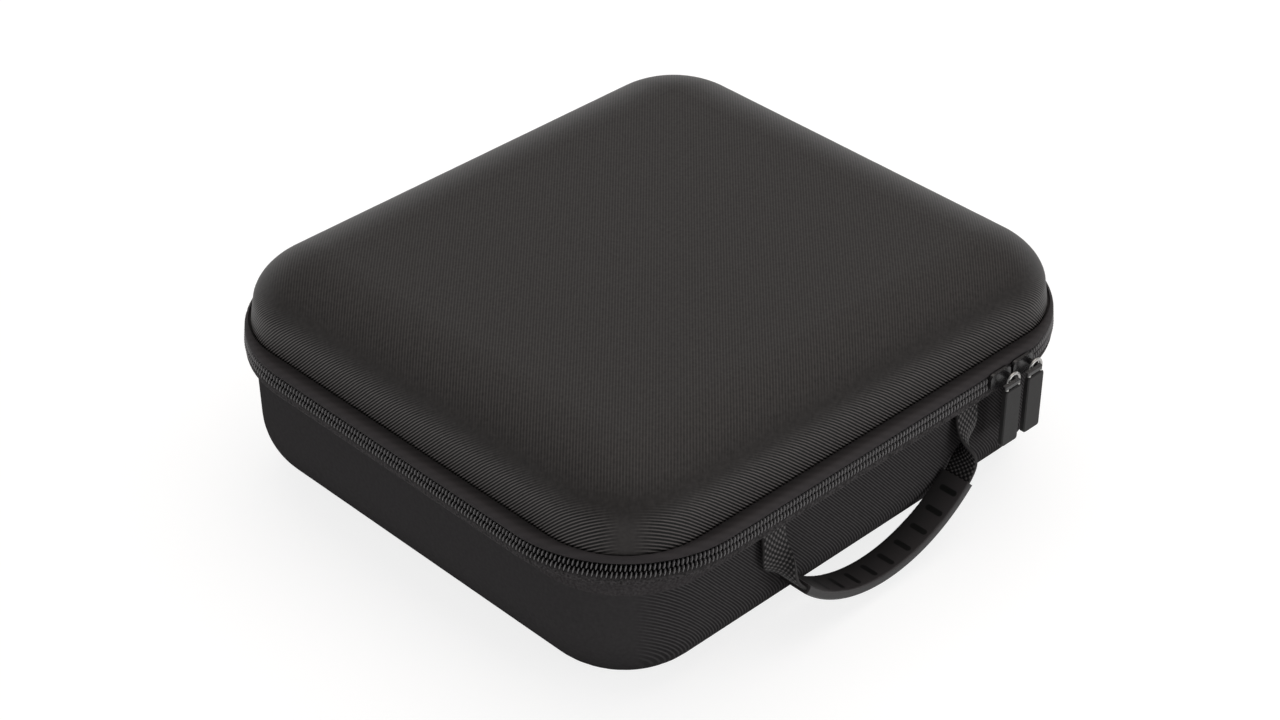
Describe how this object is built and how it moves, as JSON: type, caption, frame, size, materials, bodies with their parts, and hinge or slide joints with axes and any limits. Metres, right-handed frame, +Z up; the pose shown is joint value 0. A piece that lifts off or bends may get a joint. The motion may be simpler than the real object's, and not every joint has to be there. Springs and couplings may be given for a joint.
{
  "type": "portable game console case",
  "caption": "Zipped hard carrying case with a rounded lid, foam tray, net lid pocket and a webbing handle with a rubber grip, for a portable game console.",
  "frame": {"origin": "centre of the flat face that the base rests on", "axes": "+X along the width to the right, -Y towards the handle at the front, +Z up"},
  "size_m": [0.3, 0.2815, 0.108],
  "materials": {
    "shell_fabric": "woven polyester over moulded EVA, matt",
    "binding_fabric": "smooth cloth binding, matt",
    "zip_cloth": "woven zip tape",
    "nylon_coil": "black nylon, satin",
    "painted_zinc": "black paint, satin",
    "steel_wire": "dark nickel, satin",
    "tab_rubber": "soft moulded rubber, matt",
    "webbing": "coarse woven webbing",
    "grip_rubber": "moulded rubber, satin",
    "tray_foam": "cloth faced foam",
    "lining_net": "elastic net",
    "elastic": "woven elastic"
  },
  "bodies": {
    "base": {"base_shell": "shell_fabric", "base_rim_binding": "binding_fabric", "zip_tape_lower": "zip_cloth", "zip_coil_lower": "nylon_coil", "hinge_strip_lower": "binding_fabric", "foam_tray": "tray_foam"},
    "lid": {"lid_shell": "shell_fabric", "lid_rim_binding": "binding_fabric", "zip_tape_upper": "zip_cloth", "zip_coil_upper": "nylon_coil", "hinge_strip_upper": "binding_fabric", "lid_pocket_mesh": "lining_net", "lid_pocket_hem": "elastic"},
    "handle": {"handle_strap": "webbing", "handle_grip": "grip_rubber"},
    "left_slider": {"slider_left": "painted_zinc"},
    "right_slider": {"slider_right": "painted_zinc"},
    "left_pull": {"pull_loop_left": "steel_wire", "pull_tab_left": "tab_rubber"},
    "right_pull": {"pull_loop_right": "steel_wire", "pull_tab_right": "tab_rubber"}
  },
  "joints": [
    {"name": "lid_hinge", "type": "hinge", "parent": "base", "child": "lid", "pos_m": [0, 0.137, 0.0723], "axis": [-1, 0, 0], "range_deg": [0, 180]},
    {"name": "handle_swing", "type": "hinge", "parent": "base", "child": "handle", "pos_m": [0, -0.1304, 0.0632], "axis": [-1, 0, 0], "range_deg": [0, 78]},
    {"name": "left_slider_travel", "type": "slide", "parent": "base", "child": "left_slider", "axis": [-1, 0, 0], "range_m": [0, 0.151]},
    {"name": "right_slider_travel", "type": "hinge", "parent": "base", "child": "right_slider", "pos_m": [0.089, -0.075, 0.0723], "axis": [0, 0, 1], "range_deg": [0, 85]},
    {"name": "left_pull_swing", "type": "hinge", "parent": "left_slider", "child": "left_pull", "pos_m": [0.077, -0.1414, 0.0708], "axis": [0, 1, 0], "range_deg": [0, 85]},
    {"name": "right_pull_swing", "type": "hinge", "parent": "right_slider", "child": "right_pull", "pos_m": [0.0918, -0.1414, 0.0708], "axis": [0, -1, 0], "range_deg": [0, 85]}
  ]
}
